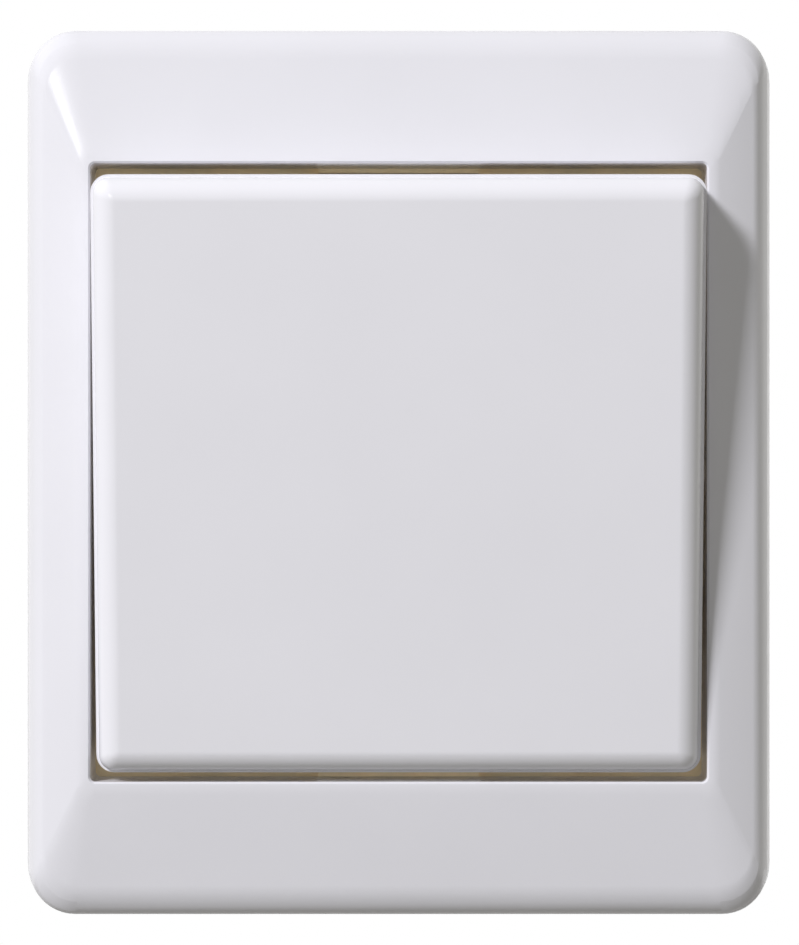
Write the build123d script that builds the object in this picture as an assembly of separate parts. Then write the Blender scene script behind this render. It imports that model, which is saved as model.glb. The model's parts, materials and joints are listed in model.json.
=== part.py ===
from build123d import *
import math
import os

# Two-pole rocker light switch for a flush wall box, in millimetres.
# +X is right, +Z is up, the room is towards -Y and the wall plane is Y = 0.
# "Out" is a distance in front of the wall plane, so Y = -out; inside the wall it is negative.
# The two poles sit side by side and are alike, so each pole piece is made at X = 0 and moved.

# Rocker cap, drawn level and then tilted to its rest position
ROCKER_WIDTH = 66.8
ROCKER_HEIGHT = 65.8
ROCKER_CORNER = 2.0         # plan radius of the cap's corners
ROCKER_EDGE = 2.6           # radius of the rounded edge round the face
ROCKER_UPRIGHT = 0.4        # straight wall from that edge back to the ledge
ROCKER_LEDGE = 0.35         # width of the narrow ledge round the cap
ROCKER_DEPTH = 10.5
ROCKER_WALL = 2.0
ROCKER_PROUD = 5.6          # height of the level face over the frame's rim
ROCKER_TILT = 6.0           # degrees to each side of level
PIVOT_SETBACK = 7.2         # from the face back to the tilt axis
CAP_RIB = 1.2
CAP_RIB_DEPTH = 2.5
CAP_RIB_SPACING = 44.0

# Cover frame
SIDE_GAP = 0.65             # between rocker and frame, left and right
END_GAP = 1.25              # between rocker and frame, top and bottom
SIDE_BAND = 7.95
END_BAND = 15.2
FRAME_CORNER = 5.5
FRAME_WALL = 2.0
SIDE_EDGE_OUT = 1.2         # height of the upright edge, left and right
SIDE_SHOULDER_WIDTH = 3.2   # half axes of the elliptical shoulder over that edge
SIDE_SHOULDER_RISE = 8.35
END_EDGE_OUT = 6.7          # the same at the top and bottom
END_SHOULDER_WIDTH = 4.5
END_SHOULDER_RISE = 2.9
RIM_OUT = 11.0
RIM_LAND = 0.55
RIM_CREST = 0.9             # strip beside the rim with half the band's slope
RIM_BEVEL = 0.2
OPENING_CORNER = 0.6
SKIRT_WALL = 1.6
SKIRT_DEPTH = 6.0
FRAME_RIB = 1.0
FRAME_RIB_BACK_OUT = 3.0
FRAME_RIB_PITCH = 22.0

# Latches that hold the frame on the yoke's tabs
LATCH_WIDTH = 18.0
LATCH_LIP = 0.7             # how far a tab reaches past the skirt
LATCH_ARM = 1.4
LATCH_GAP = 0.3             # between the yoke and the frame's arms and walls, at the least
LATCH_PLAY = 0.1            # between tab and barb
BARB_HEIGHT = 1.2
TAB_SHOW = 0.8              # how far a tab stands into the opening
TAB_BEND = 0.4
TAB_RELIEF = 0.2            # cut on each side of a tab
TAB_NOTCH_WIDTH = 1.4
TAB_NOTCH_INSET = 2.0

# Steel yoke
YOKE_THICKNESS = 1.0
YOKE_WIDTH = 72.0
YOKE_END_MARGIN = 2.05      # plate past the inner face of a latch tab
YOKE_CORNER = 3.0
YOKE_LIP_OUT = 3.0
YOKE_LIP_LENGTH = 40.0
BOX_SCREW_SPACING = 60.0
BOX_SLOT_WIDTH = 3.6
BOX_SLOT_LENGTH = 5.0

# Carrier in front of the yoke
CARRIER_THICKNESS = 1.2
CARRIER_WIDTH = 46.0
CARRIER_HEIGHT = 46.0
CARRIER_CORNER = 4.0
EAR_THICKNESS = 2.2
EAR_ROUND = 3.2
EAR_FOOT = 10.0
TRUNNION_RADIUS = 1.6
RUNNING_FIT = 0.05          # radial play of turning and sliding parts

# Cradle under the cap
CRADLE_PLATE = 1.6
CRADLE_HEIGHT = 24.0
CRADLE_CORNER = 2.0
CHEEK_THICKNESS = 1.6
CHEEK_ROUND = 2.8
CHEEK_FOOT = 9.0
CHEEK_GAP = 0.9             # between plunger tube and cheek
EAR_GAP = 0.3               # between cheek and ear
TUBE_WALL = 0.95
TUBE_END_OUT = -1.5
TUBE_GAP = 0.5              # between a swung tube and the carrier's window
CLIP_WIDTH = 16.0
CLIP_WALL = 1.4
CLIP_BARB = 0.6
CLIP_PLAY = 0.1

# Poles
POLE_PITCH = 14.0
PLUNGER_RADIUS = 2.3
PLUNGER_WALL = 0.7
PLUNGER_TIP = 1.2           # radius of the rounded tip
PLUNGER_TAPER = 1.6         # length of the cone behind the tip
PLUNGER_HIDDEN = 8.5        # length inside the tube
PLUNGER_PLAY = 0.06         # tip to lever when the rocker is level
PLUNGER_TIP_WALL = 3.4      # solid length at the tip
SPRING_WIRE = 0.2           # radius
SPRING_TURNS = 6
SPRING_SIDES = 4            # of the wire's section
SPRING_PLAY = 0.15          # between spring and plunger wall
LEVER_OUT = -9.5            # axis of the contact levers
LEVER_SWING = 8.5           # degrees to each side of level
LEVER_LENGTH = 24.4
LEVER_WIDTH = 4.6
LEVER_THICKNESS = 1.0
LEVER_CORNER = 1.2
FULCRUM_RADIUS = 0.5
FULCRUM_PLAY = 0.09         # between fulcrum and the lever's groove
FULCRUM_FOOT = 2.2
FULCRUM_WIDTH = 4.0
CONTACT_ARM = 10.5          # lever axis to contact centre
CONTACT_RADIUS = 1.6
CONTACT_DOME = 0.8
CONTACT_HEAD = 0.8          # height of the fixed contact
CONTACT_SHANK = 0.8         # radius
CONTACT_UPSET = 0.3         # height of the closed rivet end
CONTACT_PLAY = 0.1          # between closed contacts
RIVET_PLAY = 0.02

# Terminals
STRIP_THICKNESS = 0.8
STRIP_WIDTH = 6.0
STRIP_BEND = 1.1
STRIP_MARGIN = 2.4          # strip past the contact or fulcrum centre
WIRE_WIDTH = 7.6
WIRE_HEIGHT = 4.6
CAGE_WALL = 0.9
CAGE_NUT_WALL = 1.4
CAGE_DEPTH = 4.6
CAGE_SETBACK = 0.7          # cage past the lever's end
CAGE_PLAY = 0.1
CLAMP_SHANK = 1.75
CLAMP_HEAD = 2.6
CLAMP_HEAD_HEIGHT = 1.6
CLAMP_LENGTH = 2.8          # under the head, backed out to leave the wire's way clear
SCREW_SLOT = 0.8

# Base
BASE_REAR_WALL = 3.7        # behind the cages
BASE_WALL = 1.8
BASE_END_WALL = 2.2
BASE_CORNER = 2.0
BASE_CHAMFER = 1.0
CHAMBER_WIDTH = 10.4
CHAMBER_MARGIN = 1.0        # past each end of the lever
COLLAR_WALL = 1.2
FLANGE_THICKNESS = 2.0
FLANGE_HEIGHT = 32.0
FLANGE_CORNER = 6.0
BOSS_RADIUS = 3.2
BOSS_DEPTH = 11.0
BOSS_WEB = 2.4
MOUTH_FLARE = 0.8
CORE_DEPTH = 6.0
CORE_WALL = 1.6
CORE_HEIGHT = 20.0
CARRIER_SHANK = 1.4
CARRIER_HEAD = 2.6
CARRIER_HEAD_HEIGHT = 1.8
CARRIER_SCREW_LENGTH = 9.0  # under the head
SCREW_GAP = 0.5             # between ear and screw head
PART_GAP = 0.1              # between fixed parts that slip into each other

# Worked-out places, front to back
ROCKER_FACE_OUT = RIM_OUT + ROCKER_PROUD
PIVOT_OUT = ROCKER_FACE_OUT - PIVOT_SETBACK
ROCKER_BACK_OUT = ROCKER_FACE_OUT - ROCKER_DEPTH
CAP_INSIDE_OUT = ROCKER_FACE_OUT - ROCKER_WALL
CRADLE_BACK_OUT = CAP_INSIDE_OUT - CRADLE_PLATE
SKIRT_BACK_OUT = RIM_OUT - SKIRT_DEPTH
CARRIER_BACK_OUT = YOKE_THICKNESS
CARRIER_FRONT_OUT = CARRIER_BACK_OUT + CARRIER_THICKNESS

# Worked-out places across
OPENING_WIDTH = ROCKER_WIDTH + 2 * SIDE_GAP
OPENING_HEIGHT = ROCKER_HEIGHT + 2 * END_GAP
YOKE_COVER = YOKE_WIDTH + 2 * (LATCH_GAP + FRAME_WALL)  # the yoke between the frame's walls
FRAME_WIDTH = max(OPENING_WIDTH + 2 * SIDE_BAND, YOKE_COVER)
FRAME_HEIGHT = OPENING_HEIGHT + 2 * END_BAND
SKIRT_WIDTH = OPENING_WIDTH + 2 * SKIRT_WALL
SKIRT_HEIGHT = OPENING_HEIGHT + 2 * SKIRT_WALL
TAB_INNER = OPENING_HEIGHT / 2 - TAB_SHOW
TAB_END = SKIRT_HEIGHT / 2 + LATCH_LIP
YOKE_HEIGHT = 2 * (TAB_INNER + YOKE_END_MARGIN)
TUBE_BORE = PLUNGER_RADIUS + RUNNING_FIT
TUBE_RADIUS = TUBE_BORE + TUBE_WALL
POLE_X = POLE_PITCH / 2
CHEEK_INNER = POLE_X + TUBE_RADIUS + CHEEK_GAP
CHEEK_OUTER = CHEEK_INNER + CHEEK_THICKNESS
EAR_INNER = CHEEK_OUTER + EAR_GAP
EAR_OUTER = EAR_INNER + EAR_THICKNESS
CARRIER_SCREW_X = EAR_OUTER + SCREW_GAP + CARRIER_HEAD

# Worked-out places of a pole: the closed lever's domed contact sets the strip's depth
DOME_SPHERE = (CONTACT_RADIUS**2 + CONTACT_DOME**2) / (2 * CONTACT_DOME)
SWING_RADIANS = math.radians(LEVER_SWING)
CLOSED_REACH = (
    (CONTACT_DOME - DOME_SPHERE) * math.cos(SWING_RADIANS)
    + CONTACT_ARM * math.sin(SWING_RADIANS)
    + DOME_SPHERE
)
FIXED_CONTACT_OUT = LEVER_OUT - CLOSED_REACH - CONTACT_PLAY
STRIP_OUT = FIXED_CONTACT_OUT - CONTACT_HEAD
FLOOR_OUT = STRIP_OUT - STRIP_THICKNESS
PLUNGER_TIP_OUT = LEVER_OUT + LEVER_THICKNESS + PLUNGER_PLAY
PLUNGER_FRONT_OUT = TUBE_END_OUT + PLUNGER_HIDDEN
PLUNGER_SEAT_OUT = PLUNGER_TIP_OUT + PLUNGER_TIP_WALL
CHAMBER_HEIGHT = LEVER_LENGTH + 2 * CHAMBER_MARGIN

# Worked-out places of an upper terminal, from the middle upwards
CAGE_BOTTOM = LEVER_LENGTH / 2 + CAGE_SETBACK
TAIL_BOTTOM = CAGE_BOTTOM + CAGE_WALL
TAIL_TOP = TAIL_BOTTOM + STRIP_THICKNESS
WIRE_TOP = TAIL_TOP + WIRE_HEIGHT
CAGE_TOP = WIRE_TOP + CAGE_NUT_WALL
CAGE_FRONT_OUT = FLOOR_OUT - CAGE_PLAY
CAGE_BACK_OUT = CAGE_FRONT_OUT - CAGE_DEPTH
CAGE_MIDDLE_OUT = (CAGE_FRONT_OUT + CAGE_BACK_OUT) / 2
CAGE_WIDTH = WIRE_WIDTH + 2 * CAGE_WALL
BASE_DEPTH = BASE_REAR_WALL - CAGE_BACK_OUT
BASE_WIDTH = POLE_PITCH + CHAMBER_WIDTH + 2 * BASE_WALL
BASE_HEIGHT = 2 * (CAGE_TOP + CAGE_PLAY + BASE_END_WALL)

ROCKER_AXIS = Axis((0, -PIVOT_OUT, 0), (1, 0, 0))
LEVER_AXIS = Axis((0, -LEVER_OUT, 0), (1, 0, 0))
SHOULDER_SHARE = 0.74       # most of a band that its shoulder may take
SHOULDER_STEPS = 6          # strips across the frame's shoulder
HOLLOW_STEPS = 2            # strips across the hollow under it
CUT = 1.0                   # how far a cutting solid runs past the face it opens


def slab(outline, back, front):
    """Solid of an outline drawn in X and Z, between two distances out from the wall."""
    return extrude(Plane.XZ.offset(back) * outline, amount=front - back)


def panel(width, height, back, front, x=0.0, z=0.0):
    """Plain block centred on x and z."""
    return slab(Pos(x, z) * Rectangle(width, height), back, front)


def rod(radius, back, front, x=0.0, z=0.0):
    """Cylinder that points straight out of the wall."""
    return slab(Pos(x, z) * Circle(radius), back, front)


def across(outline, x_from, x_to):
    """Solid of a side view, drawn in Y and Z, between two places along X."""
    return extrude(Plane.YZ.offset(x_from) * outline, amount=x_to - x_from)


def side_view(*corners):
    """Closed side view from (out, z) corners."""
    return make_face(Polyline([(-out, z) for out, z in corners], close=True))


def rounded_end(radius, out, foot, foot_out):
    """Side view of a lug: a round end centred at out, spread to a straight foot."""
    circle = Pos(-out, 0) * Circle(radius)
    line = Line((-foot_out, -foot / 2), (-foot_out, foot / 2))
    return make_hull(circle.edges() + [line])


def turned(*profile):
    """Solid of revolution about the pole axis, from (radius, out) corners."""
    face = make_face(Polyline([(radius, -out) for radius, out in profile], close=True))
    return revolve(face, Axis.Y)


def both_ends(shape):
    """The shape and its mirror image below the middle."""
    return shape + mirror(shape, about=Plane.XY)


def both_sides(shape):
    """The shape and its mirror image to the left of the middle."""
    return shape + mirror(shape, about=Plane.YZ)


def band_profile(band, top, edge, width, rise, steps):
    """Points (inset, out) of a band: upright edge, elliptical shoulder, tangent slope, crest at the rim."""
    width = min(width, SHOULDER_SHARE * band)
    drop = RIM_CREST / 2 * (top - edge - rise) / (band - width)
    crest = (band - RIM_CREST, top - drop)
    reach = (crest[0] - width) / width
    lift = (crest[1] - edge) / rise
    end_angle = math.atan2(lift, reach) + math.acos(1 / math.hypot(reach, lift))
    points = []
    for step in range(steps + 1):
        angle = math.pi + (end_angle - math.pi) * step / steps
        points.append((width * (1 + math.cos(angle)), edge + rise * math.sin(angle)))
    return points + [crest, (band, top)]


def inset_at(profile, out):
    """Inset of a band's profile at a height, straight from point to point."""
    inset, last_out = profile[0]
    for next_inset, next_out in profile[1:]:
        if last_out < out:
            share = min(1, (out - last_out) / (next_out - last_out))
            inset += (next_inset - inset) * share
        last_out = next_out
    return inset


def crown(inset, top_width, top_height, top_corner, steps):
    """Dished block, set in from the frame's outer face, with the side and end bands' profiles."""
    width = FRAME_WIDTH - 2 * inset
    height = FRAME_HEIGHT - 2 * inset
    corner = FRAME_CORNER - inset
    top = RIM_OUT - inset
    side_band = (width - top_width) / 2
    side_rise = SIDE_SHOULDER_RISE - inset
    sides = band_profile(side_band, top, SIDE_EDGE_OUT, SIDE_SHOULDER_WIDTH, side_rise, steps)
    end_band = (height - top_height) / 2
    end_rise = END_SHOULDER_RISE - inset
    ends = band_profile(end_band, top, END_EDGE_OUT, END_SHOULDER_WIDTH, end_rise, steps)
    sections = []
    for out in sorted({out for _, out in sides + ends}):
        side = inset_at(sides, out)
        outline = RectangleRounded(
            width - 2 * side,
            height - 2 * inset_at(ends, out),
            corner + (top_corner - corner) * side / side_band,
        )
        sections.append(Plane.XZ.offset(out) * outline)
    lowest = min(SIDE_EDGE_OUT, END_EDGE_OUT)
    return slab(RectangleRounded(width, height, corner), 0, lowest) + loft(sections, ruled=True)


def latch_arm():
    """Spring arm behind the upper band, with a barb that grips the yoke's tab."""
    inner = TAB_END + LATCH_GAP
    outer = inner + LATCH_ARM
    barb_top = SKIRT_BACK_OUT - YOKE_THICKNESS - LATCH_PLAY
    barb_end = barb_top - BARB_HEIGHT
    outline = side_view(
        (RIM_OUT, inner),
        (RIM_OUT, outer),
        (barb_end, outer),
        (barb_end, inner),
        (barb_top, SKIRT_HEIGHT / 2 + LATCH_GAP),
        (barb_top, inner),
    )
    return across(outline, -LATCH_WIDTH / 2, LATCH_WIDTH / 2)


def frame_ribs():
    """Thin ribs between the frame's outer wall and the skirt round its opening."""
    ribs = []
    for place in (-FRAME_RIB_PITCH, 0, FRAME_RIB_PITCH):
        ribs.append(panel(FRAME_WIDTH, FRAME_RIB, FRAME_RIB_BACK_OUT, RIM_OUT, z=place))
        if place:
            ribs.append(panel(FRAME_RIB, FRAME_HEIGHT, FRAME_RIB_BACK_OUT, RIM_OUT, x=place))
    return Part() + ribs - panel(SKIRT_WIDTH, SKIRT_HEIGHT, 0, RIM_OUT)


def cover_frame():
    """Outer frame: a hollow crown with a skirt, ribs and latch arms behind its opening."""
    rim_corner = OPENING_CORNER + RIM_LAND
    rim_width = OPENING_WIDTH + 2 * RIM_LAND
    rim_height = OPENING_HEIGHT + 2 * RIM_LAND
    outer = crown(0, rim_width, rim_height, rim_corner, SHOULDER_STEPS)
    skirt_corner = OPENING_CORNER + SKIRT_WALL
    hollow = crown(FRAME_WALL, SKIRT_WIDTH, SKIRT_HEIGHT, skirt_corner, HOLLOW_STEPS)
    skirt = RectangleRounded(SKIRT_WIDTH, SKIRT_HEIGHT, skirt_corner)
    hollow -= slab(skirt, SKIRT_BACK_OUT, RIM_OUT)
    hollow -= frame_ribs()
    hollow -= both_ends(latch_arm())
    opening = RectangleRounded(OPENING_WIDTH, OPENING_HEIGHT, OPENING_CORNER)
    frame = outer - hollow - slab(opening, 0, RIM_OUT + CUT)
    rim = frame.faces().sort_by(Axis.Y)[0].inner_wires()[0]
    return chamfer(rim.edges(), RIM_BEVEL)


def cap_clip():
    """Wall under the cap with a barb behind the cradle plate's upper edge."""
    inner = CRADLE_HEIGHT / 2 + CLIP_PLAY
    barb_top = CRADLE_BACK_OUT - CLIP_PLAY
    barb_end = barb_top - 2 * CLIP_BARB
    outline = side_view(
        (ROCKER_FACE_OUT, inner),
        (ROCKER_FACE_OUT, inner + CLIP_WALL),
        (barb_end, inner + CLIP_WALL),
        (barb_end, inner),
        (barb_top, inner - CLIP_BARB - CLIP_PLAY),
        (barb_top, inner),
    )
    return across(outline, -CLIP_WIDTH / 2, CLIP_WIDTH / 2)


def rocker_cap():
    """The large rocker: a hollow cap with a rounded edge over a ledge, with ribs and two clips."""
    ledge_out = ROCKER_FACE_OUT - ROCKER_EDGE - ROCKER_UPRIGHT
    top_width = ROCKER_WIDTH - 2 * ROCKER_LEDGE
    top_height = ROCKER_HEIGHT - 2 * ROCKER_LEDGE
    top = RectangleRounded(top_width, top_height, ROCKER_CORNER - ROCKER_LEDGE)
    block = slab(top, ROCKER_BACK_OUT, ROCKER_FACE_OUT)
    block = fillet(block.faces().sort_by(Axis.Y)[0].edges(), ROCKER_EDGE)
    foot = RectangleRounded(ROCKER_WIDTH, ROCKER_HEIGHT, ROCKER_CORNER)
    block += slab(foot, ROCKER_BACK_OUT, ledge_out)
    inside = Rectangle(ROCKER_WIDTH - 2 * ROCKER_WALL, ROCKER_HEIGHT - 2 * ROCKER_WALL)
    hollow = slab(inside, ROCKER_BACK_OUT, CAP_INSIDE_OUT)
    rib_back = CAP_INSIDE_OUT - CAP_RIB_DEPTH
    rib = panel(CAP_RIB, ROCKER_HEIGHT, rib_back, CAP_INSIDE_OUT, x=CAP_RIB_SPACING / 2)
    hollow -= both_sides(rib)
    hollow -= both_ends(cap_clip())
    return block - hollow


def rocker_cradle():
    """Plate clipped under the cap, with two plunger tubes and two cheeks with trunnions."""
    outline = RectangleRounded(2 * CHEEK_OUTER, CRADLE_HEIGHT, CRADLE_CORNER)
    cradle = slab(outline, CRADLE_BACK_OUT, CAP_INSIDE_OUT)
    cheek = rounded_end(CHEEK_ROUND, PIVOT_OUT, CHEEK_FOOT, CRADLE_BACK_OUT)
    trunnion = Pos(-PIVOT_OUT, 0) * Circle(TRUNNION_RADIUS)
    side = across(cheek, CHEEK_INNER, CHEEK_OUTER) + across(trunnion, CHEEK_INNER, EAR_OUTER)
    side += rod(TUBE_RADIUS, TUBE_END_OUT, CRADLE_BACK_OUT, x=POLE_X)
    side -= rod(TUBE_BORE, TUBE_END_OUT, CRADLE_BACK_OUT, x=POLE_X)
    return cradle + both_sides(side)


def plunger():
    """Hollow plunger that slides in the cradle's tube and rocks the contact lever."""
    hollow = PLUNGER_RADIUS - PLUNGER_WALL
    ball_out = PLUNGER_TIP_OUT + PLUNGER_TIP
    cone_out = ball_out + PLUNGER_TAPER
    body = turned(
        (0, PLUNGER_SEAT_OUT),
        (hollow, PLUNGER_SEAT_OUT),
        (hollow, PLUNGER_FRONT_OUT),
        (PLUNGER_RADIUS, PLUNGER_FRONT_OUT),
        (PLUNGER_RADIUS, cone_out),
        (PLUNGER_TIP, ball_out),
        (0, ball_out),
    )
    return body + Pos(0, -ball_out, 0) * Sphere(PLUNGER_TIP)


def plunger_spring():
    """Coil spring from the cradle plate to the bottom of the plunger."""
    length = CRADLE_BACK_OUT - PLUNGER_SEAT_OUT - 2 * SPRING_WIRE
    radius = PLUNGER_RADIUS - PLUNGER_WALL - SPRING_PLAY - SPRING_WIRE
    start = (0, SPRING_WIRE - CRADLE_BACK_OUT, 0)
    coil = Helix(length / SPRING_TURNS, length, radius, center=start, direction=(0, 1, 0))
    section = RegularPolygon(SPRING_WIRE, SPRING_SIDES)
    wire = Plane(origin=coil @ 0, z_dir=coil % 0) * section
    return sweep(wire, path=coil, is_frenet=True)


def contact_lever():
    """Rocking lever of one pole, level, with a groove for its fulcrum and a rivet hole."""
    outline = RectangleRounded(LEVER_WIDTH, LEVER_LENGTH, LEVER_CORNER)
    lever = slab(outline, LEVER_OUT, LEVER_OUT + LEVER_THICKNESS)
    groove = Pos(-LEVER_OUT, 0) * Circle(FULCRUM_RADIUS + FULCRUM_PLAY)
    lever -= across(groove, -LEVER_WIDTH, LEVER_WIDTH)
    hole = CONTACT_SHANK + RIVET_PLAY
    return lever - rod(hole, LEVER_OUT, LEVER_OUT + LEVER_THICKNESS, z=-CONTACT_ARM)


def moving_contact():
    """Domed silver rivet at the lower end of a level lever."""
    front = LEVER_OUT + LEVER_THICKNESS
    ball = Pos(0, CONTACT_DOME - DOME_SPHERE - LEVER_OUT, 0) * Sphere(DOME_SPHERE)
    rivet = ball & rod(CONTACT_RADIUS, LEVER_OUT - CONTACT_DOME, LEVER_OUT)
    rivet += rod(CONTACT_SHANK, LEVER_OUT - CONTACT_DOME / 2, front)
    rivet += rod(CONTACT_SHANK + CONTACT_UPSET, front, front + CONTACT_UPSET)
    return Pos(0, 0, -CONTACT_ARM) * rivet


def bent_strip(start):
    """Brass strip along the chamber floor from start, bent back into the upper cage."""
    profile = side_view(
        (STRIP_OUT, start),
        (STRIP_OUT, TAIL_TOP),
        (CAGE_BACK_OUT, TAIL_TOP),
        (CAGE_BACK_OUT, TAIL_BOTTOM),
        (FLOOR_OUT, TAIL_BOTTOM),
        (FLOOR_OUT, start),
    )
    strip = across(profile, -STRIP_WIDTH / 2, STRIP_WIDTH / 2)
    bend = strip.edges().filter_by(Axis.X).group_by(Axis.Z)[-1].sort_by(Axis.Y)[0]
    return fillet(bend, STRIP_BEND)


def common_terminal():
    """Strip with the lever's fulcrum and a stop for the open lever."""
    lug = rounded_end(FULCRUM_RADIUS, LEVER_OUT, FULCRUM_FOOT, STRIP_OUT)
    terminal = bent_strip(-STRIP_MARGIN)
    terminal += across(lug, -FULCRUM_WIDTH / 2, FULCRUM_WIDTH / 2)
    stop_gap = (CONTACT_ARM - STRIP_THICKNESS) * math.tan(SWING_RADIANS) + CONTACT_PLAY
    stop_front = LEVER_OUT - stop_gap - STRIP_THICKNESS / 2
    stop = panel(LEVER_WIDTH, STRIP_THICKNESS, STRIP_OUT, stop_front, z=CONTACT_ARM)
    return terminal + stop


def switched_terminal():
    """Short strip under the fixed contact, bent back into the lower cage."""
    strip = bent_strip(CONTACT_ARM - STRIP_MARGIN)
    strip -= rod(CONTACT_SHANK + RIVET_PLAY, FLOOR_OUT, STRIP_OUT, z=CONTACT_ARM)
    return mirror(strip, about=Plane.XY)


def fixed_contact():
    """Flat silver rivet that the moving contact closes on."""
    rivet = rod(CONTACT_RADIUS, STRIP_OUT, FIXED_CONTACT_OUT)
    rim = rivet.edges().filter_by(GeomType.CIRCLE).sort_by(Axis.Y)[0]
    rivet = chamfer(rim, CONTACT_HEAD / 3)
    return Pos(0, 0, -CONTACT_ARM) * (rivet + rod(CONTACT_SHANK, FLOOR_OUT, STRIP_OUT))


def clamp_cage():
    """Brass box of the upper terminal, open front and back, with a tapped outer wall."""
    height = CAGE_TOP - CAGE_BOTTOM
    middle = (CAGE_TOP + CAGE_BOTTOM) / 2
    cage = panel(CAGE_WIDTH, height, CAGE_BACK_OUT, CAGE_FRONT_OUT, z=middle)
    cage = fillet(cage.edges().filter_by(Axis.Y), CAGE_WALL / 2)
    space = WIRE_TOP - TAIL_BOTTOM
    cage -= panel(WIRE_WIDTH, space, CAGE_BACK_OUT, CAGE_FRONT_OUT, z=(WIRE_TOP + TAIL_BOTTOM) / 2)
    return cage - upright(CLAMP_SHANK + RUNNING_FIT, WIRE_TOP, CAGE_TOP)


def upright(radius, bottom, top):
    """Cylinder along Z on the line of the upper clamp screw."""
    return Pos(0, -CAGE_MIDDLE_OUT, bottom) * extrude(Circle(radius), amount=top - bottom)


def clamp_screw():
    """Slotted screw of the upper terminal, backed out as supplied."""
    head_bottom = WIRE_TOP + CLAMP_LENGTH
    head_top = head_bottom + CLAMP_HEAD_HEIGHT
    screw = upright(CLAMP_HEAD, head_bottom, head_top)
    screw += upright(CLAMP_SHANK, WIRE_TOP, head_bottom)
    slot = Box(2 * CLAMP_HEAD, SCREW_SLOT, CLAMP_HEAD_HEIGHT)
    return screw - Pos(0, -CAGE_MIDDLE_OUT, head_top) * slot


def carrier_screw():
    """Slotted screw that draws carrier, yoke and base together."""
    head_top = CARRIER_FRONT_OUT + CARRIER_HEAD_HEIGHT
    screw = rod(CARRIER_HEAD, CARRIER_FRONT_OUT, head_top)
    screw += rod(CARRIER_SHANK, CARRIER_FRONT_OUT - CARRIER_SCREW_LENGTH, CARRIER_FRONT_OUT)
    slot = panel(2 * CARRIER_HEAD, SCREW_SLOT, head_top - CARRIER_HEAD_HEIGHT / 2, head_top)
    return Pos(CARRIER_SCREW_X, 0, 0) * (screw - slot)


def front_carrier():
    """Plate in front of the yoke with bearing ears for the rocker."""
    outline = RectangleRounded(CARRIER_WIDTH, CARRIER_HEIGHT, CARRIER_CORNER)
    carrier = slab(outline, CARRIER_BACK_OUT, CARRIER_FRONT_OUT)
    tube_swing = (PIVOT_OUT - TUBE_END_OUT) * math.sin(math.radians(ROCKER_TILT))
    window_height = 2 * (TUBE_RADIUS + tube_swing + TUBE_GAP)
    window_width = 2 * (POLE_X + TUBE_RADIUS + TUBE_GAP)
    carrier -= panel(window_width, window_height, CARRIER_BACK_OUT, CARRIER_FRONT_OUT)
    ear = rounded_end(EAR_ROUND, PIVOT_OUT, EAR_FOOT, CARRIER_FRONT_OUT)
    ear -= Pos(-PIVOT_OUT, 0) * Circle(TRUNNION_RADIUS + RUNNING_FIT)
    carrier += both_sides(across(ear, EAR_INNER, EAR_OUTER))
    hole = rod(CARRIER_SHANK + PART_GAP, CARRIER_BACK_OUT, CARRIER_FRONT_OUT, x=CARRIER_SCREW_X)
    return carrier - both_sides(hole)


def collar_outline(play=0.0):
    """Outline of the base's collar, or of the yoke's window round it."""
    width = POLE_PITCH + CHAMBER_WIDTH + 2 * (COLLAR_WALL + play)
    height = CHAMBER_HEIGHT + 2 * (COLLAR_WALL + play)
    return RectangleRounded(width, height, BASE_CORNER)


def latch_tab():
    """Upper tab, bent forward out of the yoke's plate and then outward under the frame's skirt."""
    outline = side_view(
        (0, TAB_INNER),
        (SKIRT_BACK_OUT, TAB_INNER),
        (SKIRT_BACK_OUT, TAB_END),
        (SKIRT_BACK_OUT - YOKE_THICKNESS, TAB_END),
        (SKIRT_BACK_OUT - YOKE_THICKNESS, TAB_INNER + YOKE_THICKNESS),
        (0, TAB_INNER + YOKE_THICKNESS),
    )
    tab = across(outline, -LATCH_WIDTH / 2, LATCH_WIDTH / 2)
    bend = tab.edges().filter_by(Axis.X).group_by(Axis.Y)[0].sort_by(Axis.Z)[0]
    tab = fillet(bend, TAB_BEND)
    notch_x = LATCH_WIDTH / 2 - TAB_NOTCH_INSET - TAB_NOTCH_WIDTH / 2
    notch_height = 2 * (TAB_END - OPENING_HEIGHT / 2)
    notch = panel(TAB_NOTCH_WIDTH, notch_height, 0, SKIRT_BACK_OUT, x=notch_x, z=TAB_END)
    return tab - both_sides(notch)


def mounting_yoke():
    """Stamped steel plate with a window, slots for the box screws, folded edges and two tabs."""
    plate = slab(RectangleRounded(YOKE_WIDTH, YOKE_HEIGHT, YOKE_CORNER), 0, YOKE_THICKNESS)
    lip_x = (YOKE_WIDTH - YOKE_THICKNESS) / 2
    lip = panel(YOKE_THICKNESS, YOKE_LIP_LENGTH, 0, YOKE_LIP_OUT, x=lip_x)
    slot = slab(SlotOverall(BOX_SLOT_LENGTH, BOX_SLOT_WIDTH), 0, YOKE_THICKNESS)
    hole = rod(CARRIER_SHANK + PART_GAP, 0, YOKE_THICKNESS, x=CARRIER_SCREW_X)
    plate += both_sides(lip)
    plate -= both_sides(Pos(BOX_SCREW_SPACING / 2, 0, 0) * slot + hole)
    plate -= slab(collar_outline(PART_GAP), 0, YOKE_THICKNESS)
    window_width = LATCH_WIDTH + 2 * TAB_RELIEF
    window_height = SKIRT_BACK_OUT + TAB_END - TAB_INNER - 2 * YOKE_THICKNESS
    window_middle = TAB_INNER - window_height / 2
    plate -= both_ends(panel(window_width, window_height, 0, YOKE_THICKNESS, z=window_middle))
    return plate + both_ends(latch_tab())


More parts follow.
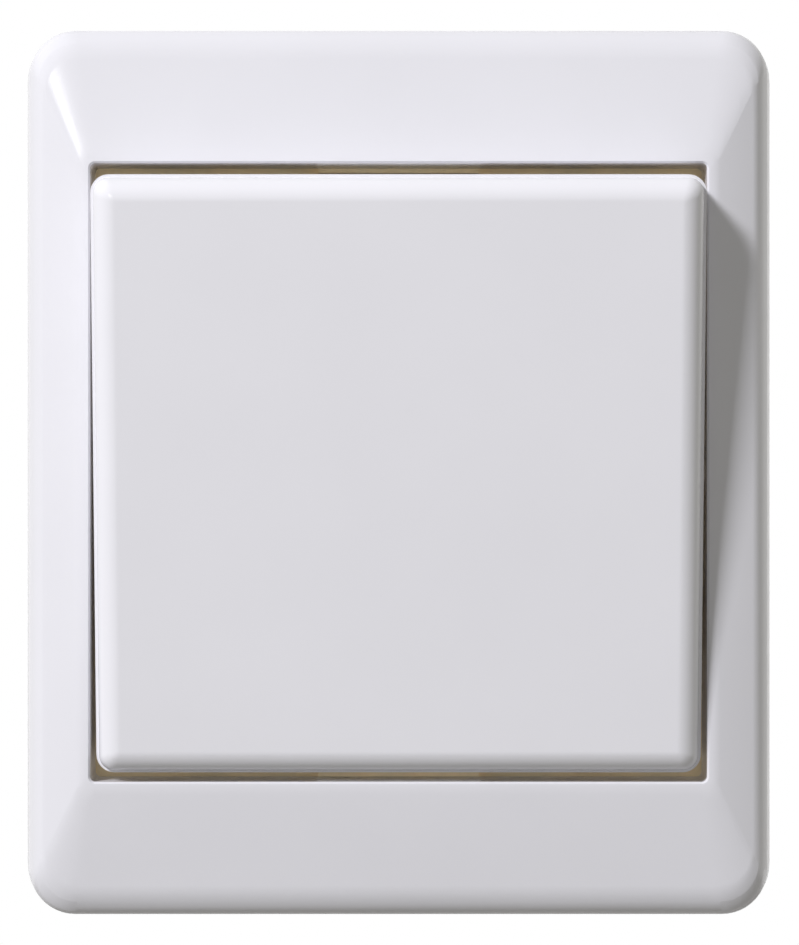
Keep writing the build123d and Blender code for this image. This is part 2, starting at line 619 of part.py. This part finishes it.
def pole_hollow():
    """Space of one pole: the lever's chamber, the cages' pockets, wire mouths and screw holes."""
    hollow = panel(CHAMBER_WIDTH, CHAMBER_HEIGHT, FLOOR_OUT, YOKE_THICKNESS)
    pocket_bottom = CAGE_BOTTOM - CAGE_PLAY
    pocket_height = CAGE_TOP + CAGE_PLAY - pocket_bottom
    pocket_width = CAGE_WIDTH + 2 * CAGE_PLAY
    pocket_middle = pocket_bottom + pocket_height / 2
    pocket = panel(pocket_width, pocket_height, CAGE_BACK_OUT, -FLANGE_THICKNESS, z=pocket_middle)
    mouth_middle = TAIL_TOP + WIRE_HEIGHT / 2
    mouth = Rectangle(WIRE_WIDTH, WIRE_HEIGHT)
    pocket += slab(Pos(0, mouth_middle) * mouth, -BASE_DEPTH, CAGE_BACK_OUT)
    flare_start = Plane((0, BASE_DEPTH - MOUTH_FLARE, mouth_middle), (1, 0, 0), (0, 1, 0))
    pocket += extrude(flare_start * mouth, amount=MOUTH_FLARE, taper=-45)
    pocket += upright(CLAMP_HEAD + 2 * CAGE_PLAY, CAGE_TOP, BASE_HEIGHT / 2 + CUT)
    return hollow + both_ends(pocket)


def base_housing():
    """Moulded base behind the yoke: two pole chambers, screw bosses and a cored rear."""
    base = slab(RectangleRounded(BASE_WIDTH, BASE_HEIGHT, BASE_CORNER), -BASE_DEPTH, 0)
    base = chamfer(base.faces().sort_by(Axis.Y)[-1].edges(), BASE_CHAMFER)
    flange_width = 2 * (CARRIER_SCREW_X + BOSS_RADIUS)
    base += slab(RectangleRounded(flange_width, FLANGE_HEIGHT, FLANGE_CORNER), -FLANGE_THICKNESS, 0)
    base += slab(collar_outline(), 0, YOKE_THICKNESS)
    boss = rod(BOSS_RADIUS, -BOSS_DEPTH, 0, x=CARRIER_SCREW_X)
    boss += panel(CARRIER_SCREW_X, BOSS_WEB, -BOSS_DEPTH, 0, x=CARRIER_SCREW_X / 2)
    base += both_sides(boss)
    screw_end = CARRIER_FRONT_OUT - CARRIER_SCREW_LENGTH - PART_GAP
    base -= both_sides(rod(CARRIER_SHANK + RUNNING_FIT, screw_end, 0, x=CARRIER_SCREW_X))
    core_width = (BASE_WIDTH - 3 * CORE_WALL) / 2
    core_x = (core_width + CORE_WALL) / 2
    base -= both_sides(panel(core_width, CORE_HEIGHT, -BASE_DEPTH, CORE_DEPTH - BASE_DEPTH, x=core_x))
    return base - both_sides(Pos(POLE_X, 0, 0) * pole_hollow())


def tilt(shape):
    """A rocker piece at rest, with the upper half of the face out."""
    return shape.rotate(ROCKER_AXIS, ROCKER_TILT)


def swing(shape):
    """A lever piece at rest, with the contacts open."""
    return shape.rotate(LEVER_AXIS, -LEVER_SWING)


def pole_pieces(side, x):
    """Every piece of one pole, by name."""
    place = Pos(x, 0, 0)
    line_cage = clamp_cage()
    return {
        f"plunger_{side}": place * tilt(plunger()),
        f"plunger_spring_{side}": place * tilt(plunger_spring()),
        f"contact_lever_{side}": place * swing(contact_lever()),
        f"moving_contact_{side}": place * swing(moving_contact()),
        f"common_terminal_{side}": place * common_terminal(),
        f"switched_terminal_{side}": place * switched_terminal(),
        f"fixed_contact_{side}": place * fixed_contact(),
        f"line_cage_{side}": place * line_cage,
        f"load_cage_{side}": place * mirror(line_cage, about=Plane.XY),
    }


def all_pieces():
    """Every piece of the switch, by name."""
    pieces = {
        "cover_frame": cover_frame(),
        "rocker_cap": tilt(rocker_cap()),
        "rocker_cradle": tilt(rocker_cradle()),
        "front_carrier": front_carrier(),
        "mounting_yoke": mounting_yoke(),
        "base_housing": base_housing(),
        "carrier_screws": both_sides(carrier_screw()),
        "terminal_screws": both_sides(Pos(POLE_X, 0, 0) * both_ends(clamp_screw())),
    }
    for side, x in (("left", -POLE_X), ("right", POLE_X)):
        pieces.update(pole_pieces(side, x))
    return pieces


os.makedirs("parts", exist_ok=True)
for name, piece in all_pieces().items():
    export_step(piece, f"parts/{name}.step")
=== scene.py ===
import json
import math

import bpy
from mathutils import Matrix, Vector

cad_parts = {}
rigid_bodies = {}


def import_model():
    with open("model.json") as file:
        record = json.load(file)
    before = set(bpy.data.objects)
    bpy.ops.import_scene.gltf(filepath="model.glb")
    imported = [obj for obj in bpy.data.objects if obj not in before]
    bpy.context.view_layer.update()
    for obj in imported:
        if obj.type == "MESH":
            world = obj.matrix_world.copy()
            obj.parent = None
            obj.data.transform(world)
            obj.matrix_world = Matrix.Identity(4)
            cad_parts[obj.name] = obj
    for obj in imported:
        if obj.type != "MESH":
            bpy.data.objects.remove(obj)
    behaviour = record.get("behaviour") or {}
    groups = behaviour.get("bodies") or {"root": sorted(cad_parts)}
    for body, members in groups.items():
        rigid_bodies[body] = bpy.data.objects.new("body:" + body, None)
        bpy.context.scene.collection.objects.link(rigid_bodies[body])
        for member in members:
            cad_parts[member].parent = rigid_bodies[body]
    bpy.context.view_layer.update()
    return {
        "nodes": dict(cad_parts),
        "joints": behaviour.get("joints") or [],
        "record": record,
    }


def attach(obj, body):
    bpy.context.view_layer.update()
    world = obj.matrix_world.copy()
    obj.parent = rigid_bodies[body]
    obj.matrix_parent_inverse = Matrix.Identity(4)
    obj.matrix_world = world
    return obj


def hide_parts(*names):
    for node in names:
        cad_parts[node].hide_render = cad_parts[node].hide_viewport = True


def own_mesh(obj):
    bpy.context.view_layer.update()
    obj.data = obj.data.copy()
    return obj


# Two-pole rocker light switch: finishes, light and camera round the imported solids, in metres.
# +X is right, +Z is up and the room is towards -Y.

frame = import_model()

# Camera: straight on and level, as the photograph was taken
PHOTO_LONG_SIDE = 945       # pixels
PHOTO_FOCAL = 2919          # pixels
SENSOR = 36.0               # millimetres along the long side
CAMERA_PLACE = (0.0001, -0.333, 0.0)
CAMERA_CLIP = 0.01          # nearest distance that it sees

# Light: one lamp from the upper left that throws the shadow, a small one that is only seen as
# glints, and a dim room that is brighter on the left, on the right, below, in front and behind
KEY_FROM = Vector((-0.485, -0.61, 0.5))
KEY_DISTANCE = 1.6
KEY_SIZE = 0.28
KEY_POWER = 25.0
KEY_COLOUR = (0.955, 0.955, 1.0)
GLINT_FROM = Vector((-0.425, -0.845, 0.335))
GLINT_DISTANCE = 0.7
GLINT_SIZE = 0.12
GLINT_POWER = 0.4
GLINT_COLOUR = (1.0, 1.0, 1.0)
ROOM_COLOUR = (1.0, 0.98, 0.91, 1.0)
ROOM_LEVEL = 0.09
ROOM_SIDES = (
    Vector((-0.22, 0.0, 0.0)),
    Vector((0.06, 0.0, 0.0)),
    Vector((0.0, 0.0, -0.1)),
    Vector((0.0, -0.05, 0.0)),
    Vector((0.35, 0.35, 0.0)),
)
BACKGROUND_COLOUR = (1.0, 1.0, 1.0, 1.0)

# Floor: a pale disc well below the switch, which hangs on a wall
FLOOR_Z = -0.20
FLOOR_RADIUS = 0.5
FLOOR_SIDES = 96
FLOOR_ROUGHNESS = 0.9
FLOOR_PATCHES = 8.0         # for each metre
FLOOR_TINTS = (0.86, 0.86, 0.86), (0.9, 0.9, 0.9)

# Shading of the solids' own meshes
WELD_DISTANCE = 1e-6
CREASE_ANGLE = math.radians(32)

# Grain of the finishes: features for each metre, and depths in metres
NOISE_SPAN = (0.3, 0.7)     # where most of a noise lies
CLOUD_GRAIN = 60.0
CLOUD_SHADE = 0.985         # darkest of a white moulding's clouds, as a share of its colour
GLOSS_GRAIN = 350.0
GLOSS_ROUGHNESS = (0.17, 0.23)
RIPPLE_GRAIN = 700.0
RIPPLE_DEPTH = 4e-6
FLECK_GRAIN = 2600.0
FLECK_SPAN = (0.25, 0.6)
FLECK_DEPTH = 2e-5
MATT_GRAIN = 500.0
TARNISH_GRAIN = 180.0
METAL_GRAIN = 3000.0
METAL_DEPTH = 1e-5
EVEN_GRAIN = (1.0, 1.0, 1.0)
UPRIGHT_GRAIN = (1.0, 1.0, 0.04)

# Polished white mouldings: colour
WHITE_PLASTICS = {
    "cover_white": (0.82, 0.815, 0.85),
    # the rocker's white is lighter than the cover's to brighten its face: painted light
    "rocker_white": (0.88, 0.875, 0.91),
}

# Matt mouldings: colour, colour of the flecks, and least and most roughness
MATT_PLASTICS = {
    "cradle_plastic": ((0.72, 0.70, 0.64), (0.66, 0.63, 0.56), (0.4, 0.5)),
    "carrier_plastic": ((0.66, 0.58, 0.41), (0.6, 0.52, 0.36), (0.4, 0.5)),
    "base_plastic": ((0.055, 0.055, 0.06), (0.1, 0.1, 0.1), (0.45, 0.6)),
    "plunger_plastic": ((0.8, 0.78, 0.7), (0.74, 0.71, 0.62), (0.3, 0.4)),
}

# Metals: colour, colour of the tarnish, least and most roughness, and stretch of the grain
METALS = {
    "yoke_steel": ((0.86, 0.68, 0.42), (0.76, 0.64, 0.42), (0.4, 0.52), EVEN_GRAIN),
    "screw_steel": ((0.68, 0.68, 0.66), (0.58, 0.57, 0.54), (0.25, 0.36), EVEN_GRAIN),
    "spring_steel": ((0.55, 0.55, 0.56), (0.45, 0.44, 0.43), (0.25, 0.35), EVEN_GRAIN),
    "contact_copper": ((0.83, 0.47, 0.30), (0.62, 0.33, 0.2), (0.3, 0.42), UPRIGHT_GRAIN),
    "contact_silver": ((0.9, 0.89, 0.86), (0.76, 0.73, 0.66), (0.25, 0.36), EVEN_GRAIN),
    "terminal_brass": ((0.82, 0.63, 0.28), (0.66, 0.48, 0.2), (0.24, 0.36), UPRIGHT_GRAIN),
}


def add(tree, kind, **inputs):
    """A shader node with the given input values; a socket given as a value is linked."""
    node = tree.nodes.new("ShaderNode" + kind)
    for name, value in inputs.items():
        connect(tree, node.inputs[name.replace("_", " ")], value)
    return node


def connect(tree, socket, value):
    """Links an output socket, or sets a plain value."""
    if isinstance(value, bpy.types.NodeSocket):
        tree.links.new(value, socket)
    else:
        socket.default_value = value


def new_material(name, **sockets):
    """A node material with constant values set on its shader's own sockets."""
    made = bpy.data.materials.new(name)
    made.use_nodes = True
    shader = made.node_tree.nodes["Principled BSDF"]
    for socket, value in sockets.items():
        shader.inputs[socket.replace("_", " ")].default_value = value
    return made, made.node_tree, shader


def noise(tree, scale, detail=2.0, stretch=EVEN_GRAIN):
    """Noise over the object's own coordinates, with scale in features for each metre."""
    place = add(tree, "TexCoord").outputs["Object"]
    mapped = add(tree, "Mapping", Vector=place, Scale=stretch).outputs["Vector"]
    return add(tree, "TexNoise", Vector=mapped, Scale=scale, Detail=detail).outputs["Fac"]


def blend_colours(tree, factor, low, high, span=(0.35, 0.65)):
    """Colour that runs from low to high as the factor goes through its span."""
    ramp = add(tree, "ValToRGB", Fac=factor)
    first, last = ramp.color_ramp.elements
    first.position, last.position = span
    first.color, last.color = (*low, 1.0), (*high, 1.0)
    return ramp.outputs["Color"]


def spread(tree, factor, low, high):
    """A value that runs from low to high where most of a noise lies."""
    start, end = NOISE_SPAN
    limits = {"From_Min": start, "From_Max": end, "To_Min": low, "To_Max": high}
    return add(tree, "MapRange", Value=factor, **limits).outputs["Result"]


def relief(tree, shader, height, distance):
    """Bump from a height, as deep as distance in metres."""
    node = add(tree, "Bump", Height=height, Distance=distance, Strength=1.0)
    tree.links.new(node.outputs["Normal"], shader.inputs["Normal"])


def white_plastic(name, colour):
    """Polished white moulding: faint cloudiness and the soft ripple of a moulded face."""
    made, tree, shader = new_material(name)
    darker = [CLOUD_SHADE * value for value in colour]
    cloud = noise(tree, CLOUD_GRAIN, 3.0)
    connect(tree, shader.inputs["Base Color"], blend_colours(tree, cloud, darker, colour))
    gloss = spread(tree, noise(tree, GLOSS_GRAIN, 4.0), *GLOSS_ROUGHNESS)
    connect(tree, shader.inputs["Roughness"], gloss)
    relief(tree, shader, noise(tree, RIPPLE_GRAIN), RIPPLE_DEPTH)
    return made


def matt_plastic(name, colour, fleck, roughness):
    """Matt moulding with fine flecks and a lightly eroded surface."""
    made, tree, shader = new_material(name)
    grain = noise(tree, FLECK_GRAIN, 3.0)
    flecked = blend_colours(tree, grain, fleck, colour, FLECK_SPAN)
    connect(tree, shader.inputs["Base Color"], flecked)
    worn = spread(tree, noise(tree, MATT_GRAIN, 3.0), *roughness)
    connect(tree, shader.inputs["Roughness"], worn)
    relief(tree, shader, grain, FLECK_DEPTH)
    return made


def metal(name, colour, tarnish, roughness, stretch):
    """Worked metal: fine grain, drawn out where it is stretched, and tarnish in soft patches."""
    made, tree, shader = new_material(name, Metallic=1.0)
    patches = noise(tree, TARNISH_GRAIN, 5.0)
    connect(tree, shader.inputs["Base Color"], blend_colours(tree, patches, tarnish, colour))
    lines = noise(tree, METAL_GRAIN, 3.0, stretch)
    connect(tree, shader.inputs["Roughness"], spread(tree, lines, *roughness))
    relief(tree, shader, lines, METAL_DEPTH)
    return made


def make_finishes():
    """One material for each of the record's slots, by the slot's name."""
    finishes = {name: white_plastic(name, colour) for name, colour in WHITE_PLASTICS.items()}
    for name, values in MATT_PLASTICS.items():
        finishes[name] = matt_plastic(name, *values)
    for name, values in METALS.items():
        finishes[name] = metal(name, *values)
    return finishes


def smooth(piece):
    """Smooth shading with crisp edges."""
    weld = piece.modifiers.new("weld", "WELD")
    weld.merge_threshold = WELD_DISTANCE
    crease = piece.modifiers.new("crease", "EDGE_SPLIT")
    crease.split_angle = CREASE_ANGLE
    piece.modifiers.new("even_normals", "WEIGHTED_NORMAL")


def dress_nodes(finishes):
    """Gives every solid its slot's finish and smooth shading."""
    for subpart in frame["record"]["subparts"]:
        node = frame["nodes"][subpart["node"]]
        node.data.materials.clear()
        node.data.materials.append(finishes[subpart["material_slot"]])
        smooth(node)


def make_springs():
    """Plunger springs that shorten as their plungers slide in, held at their front ends."""
    for joint in frame["joints"]:
        for deforming in joint.get("deforming_nodes", ()):
            name = deforming["node"]
            spring = bpy.data.objects.new("moving_" + name, frame["nodes"][name].data.copy())
            bpy.context.scene.collection.objects.link(spring)
            smooth(spring)
            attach(spring, joint["parent"])
            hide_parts(name)
            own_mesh(spring)


def combine(tree, operation, first, second):
    """Sum, product, larger value and so on of two values."""
    node = add(tree, "Math")
    node.operation = operation
    connect(tree, node.inputs[0], first)
    connect(tree, node.inputs[1], second)
    return node.outputs["Value"]


def seen_directly(tree):
    """1 where the camera sees the world, also mirrored or through glass, and 0 elsewhere."""
    path = add(tree, "LightPath").outputs
    mirrored = combine(tree, "MAXIMUM", path["Is Glossy Ray"], path["Is Transmission Ray"])
    return combine(tree, "MAXIMUM", path["Is Camera Ray"], mirrored)


def room_light(tree):
    """Brightness of the room in each direction: an even level and a few brighter sides."""
    towards = add(tree, "TexCoord").outputs["Generated"]
    light = ROOM_LEVEL
    for side in ROOM_SIDES:
        facing = add(tree, "VectorMath")
        facing.operation = "DOT_PRODUCT"
        connect(tree, facing.inputs[0], towards)
        connect(tree, facing.inputs[1], side)
        brighter = combine(tree, "MAXIMUM", facing.outputs["Value"], 0.0)
        light = combine(tree, "ADD", light, brighter)
    return light


def make_world():
    """White where the camera or a reflection sees it, and the room's own light otherwise."""
    world = bpy.data.worlds.new("studio")
    bpy.context.scene.world = world
    world.use_nodes = True
    tree = world.node_tree
    tree.nodes.clear()
    room = add(tree, "Background", Color=ROOM_COLOUR, Strength=room_light(tree))
    white = add(tree, "Background", Color=BACKGROUND_COLOUR, Strength=1.0)
    mix = add(tree, "MixShader", Fac=seen_directly(tree))
    connect(tree, mix.inputs[1], room.outputs["Background"])
    connect(tree, mix.inputs[2], white.outputs["Background"])
    out = add(tree, "OutputWorld")
    tree.links.new(mix.outputs["Shader"], out.inputs["Surface"])


def make_floor():
    """Plain pale floor that throws no light up."""
    made, tree, shader = new_material("pale_floor", Roughness=FLOOR_ROUGHNESS)
    tint = blend_colours(tree, noise(tree, FLOOR_PATCHES), *FLOOR_TINTS)
    connect(tree, shader.inputs["Base Color"], tint)
    bpy.ops.mesh.primitive_circle_add(
        vertices=FLOOR_SIDES, radius=FLOOR_RADIUS, fill_type="NGON", location=(0.0, 0.0, FLOOR_Z)
    )
    floor = bpy.context.object
    floor.name = "floor"
    floor.visible_diffuse = False
    floor.data.materials.append(made)


def area_light(name, towards, distance, size, power, colour, mirrored):
    """Square soft light that points at the switch from the given direction.

    A mirrored one is seen only in glossy surfaces, and any other one lights only their colour.
    """
    lamp = bpy.data.lights.new(name, "AREA")
    lamp.size = size
    lamp.energy = power
    lamp.color = colour
    holder = bpy.data.objects.new(name, lamp)
    direction = towards.normalized()
    holder.location = direction * distance
    holder.rotation_mode = "QUATERNION"
    holder.rotation_quaternion = direction.to_track_quat("Z", "Y")
    holder.visible_glossy = mirrored
    holder.visible_diffuse = not mirrored
    bpy.context.scene.collection.objects.link(holder)


def make_camera():
    """Level camera on the switch's axis."""
    lens = bpy.data.cameras.new("camera")
    lens.sensor_width = SENSOR
    lens.lens = SENSOR * PHOTO_FOCAL / PHOTO_LONG_SIDE
    lens.clip_start = CAMERA_CLIP
    camera = bpy.data.objects.new("camera", lens)
    camera.location = CAMERA_PLACE
    camera.rotation_euler = (math.radians(90), 0.0, 0.0)
    bpy.context.scene.collection.objects.link(camera)
    bpy.context.scene.camera = camera


dress_nodes(make_finishes())
make_springs()
make_world()
make_floor()
area_light("key", KEY_FROM, KEY_DISTANCE, KEY_SIZE, KEY_POWER, KEY_COLOUR, mirrored=False)
area_light(
    "glint", GLINT_FROM, GLINT_DISTANCE, GLINT_SIZE, GLINT_POWER, GLINT_COLOUR, mirrored=True
)
make_camera()
bpy.context.scene.view_settings.view_transform = "Standard"
